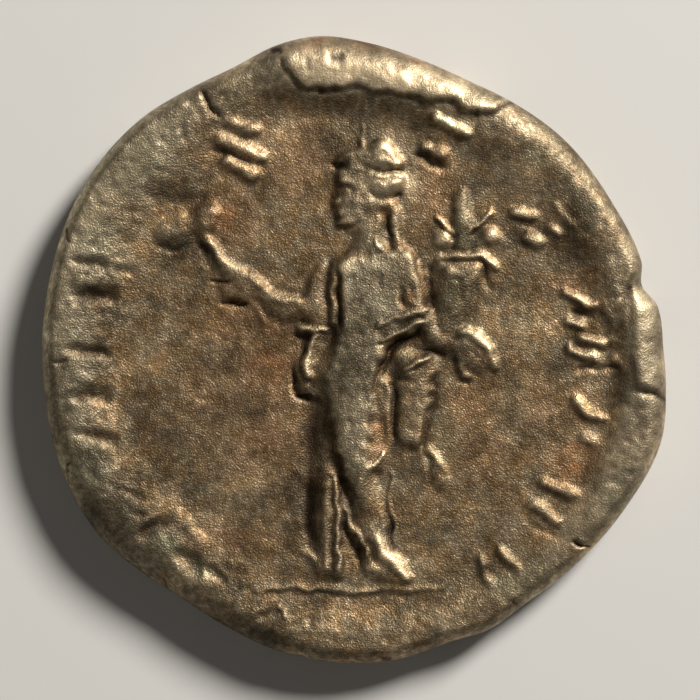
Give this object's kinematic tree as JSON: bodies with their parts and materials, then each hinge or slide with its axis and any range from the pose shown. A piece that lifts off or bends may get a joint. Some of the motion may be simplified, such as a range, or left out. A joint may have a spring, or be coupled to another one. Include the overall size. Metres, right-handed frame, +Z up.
{
  "type": "silver denarius",
  "caption": "Worn round silver coin with a draped standing figure on one face, a profile head on the other and a raised, uneven border.",
  "frame": {"origin": "on the plane the coin rests on, under the middle of the bounding box of its outline", "axes": "+Z up out of the face with the standing figure, +Y towards that figure's head, +X to its right as it is looked at"},
  "size_m": [0.018, 0.018, 0.0017],
  "materials": {
    "toned_silver": "worn, toned brown and grey in the fields"
  },
  "bodies": {
    "root": {"coin": "toned_silver"}
  },
  "joints": []
}
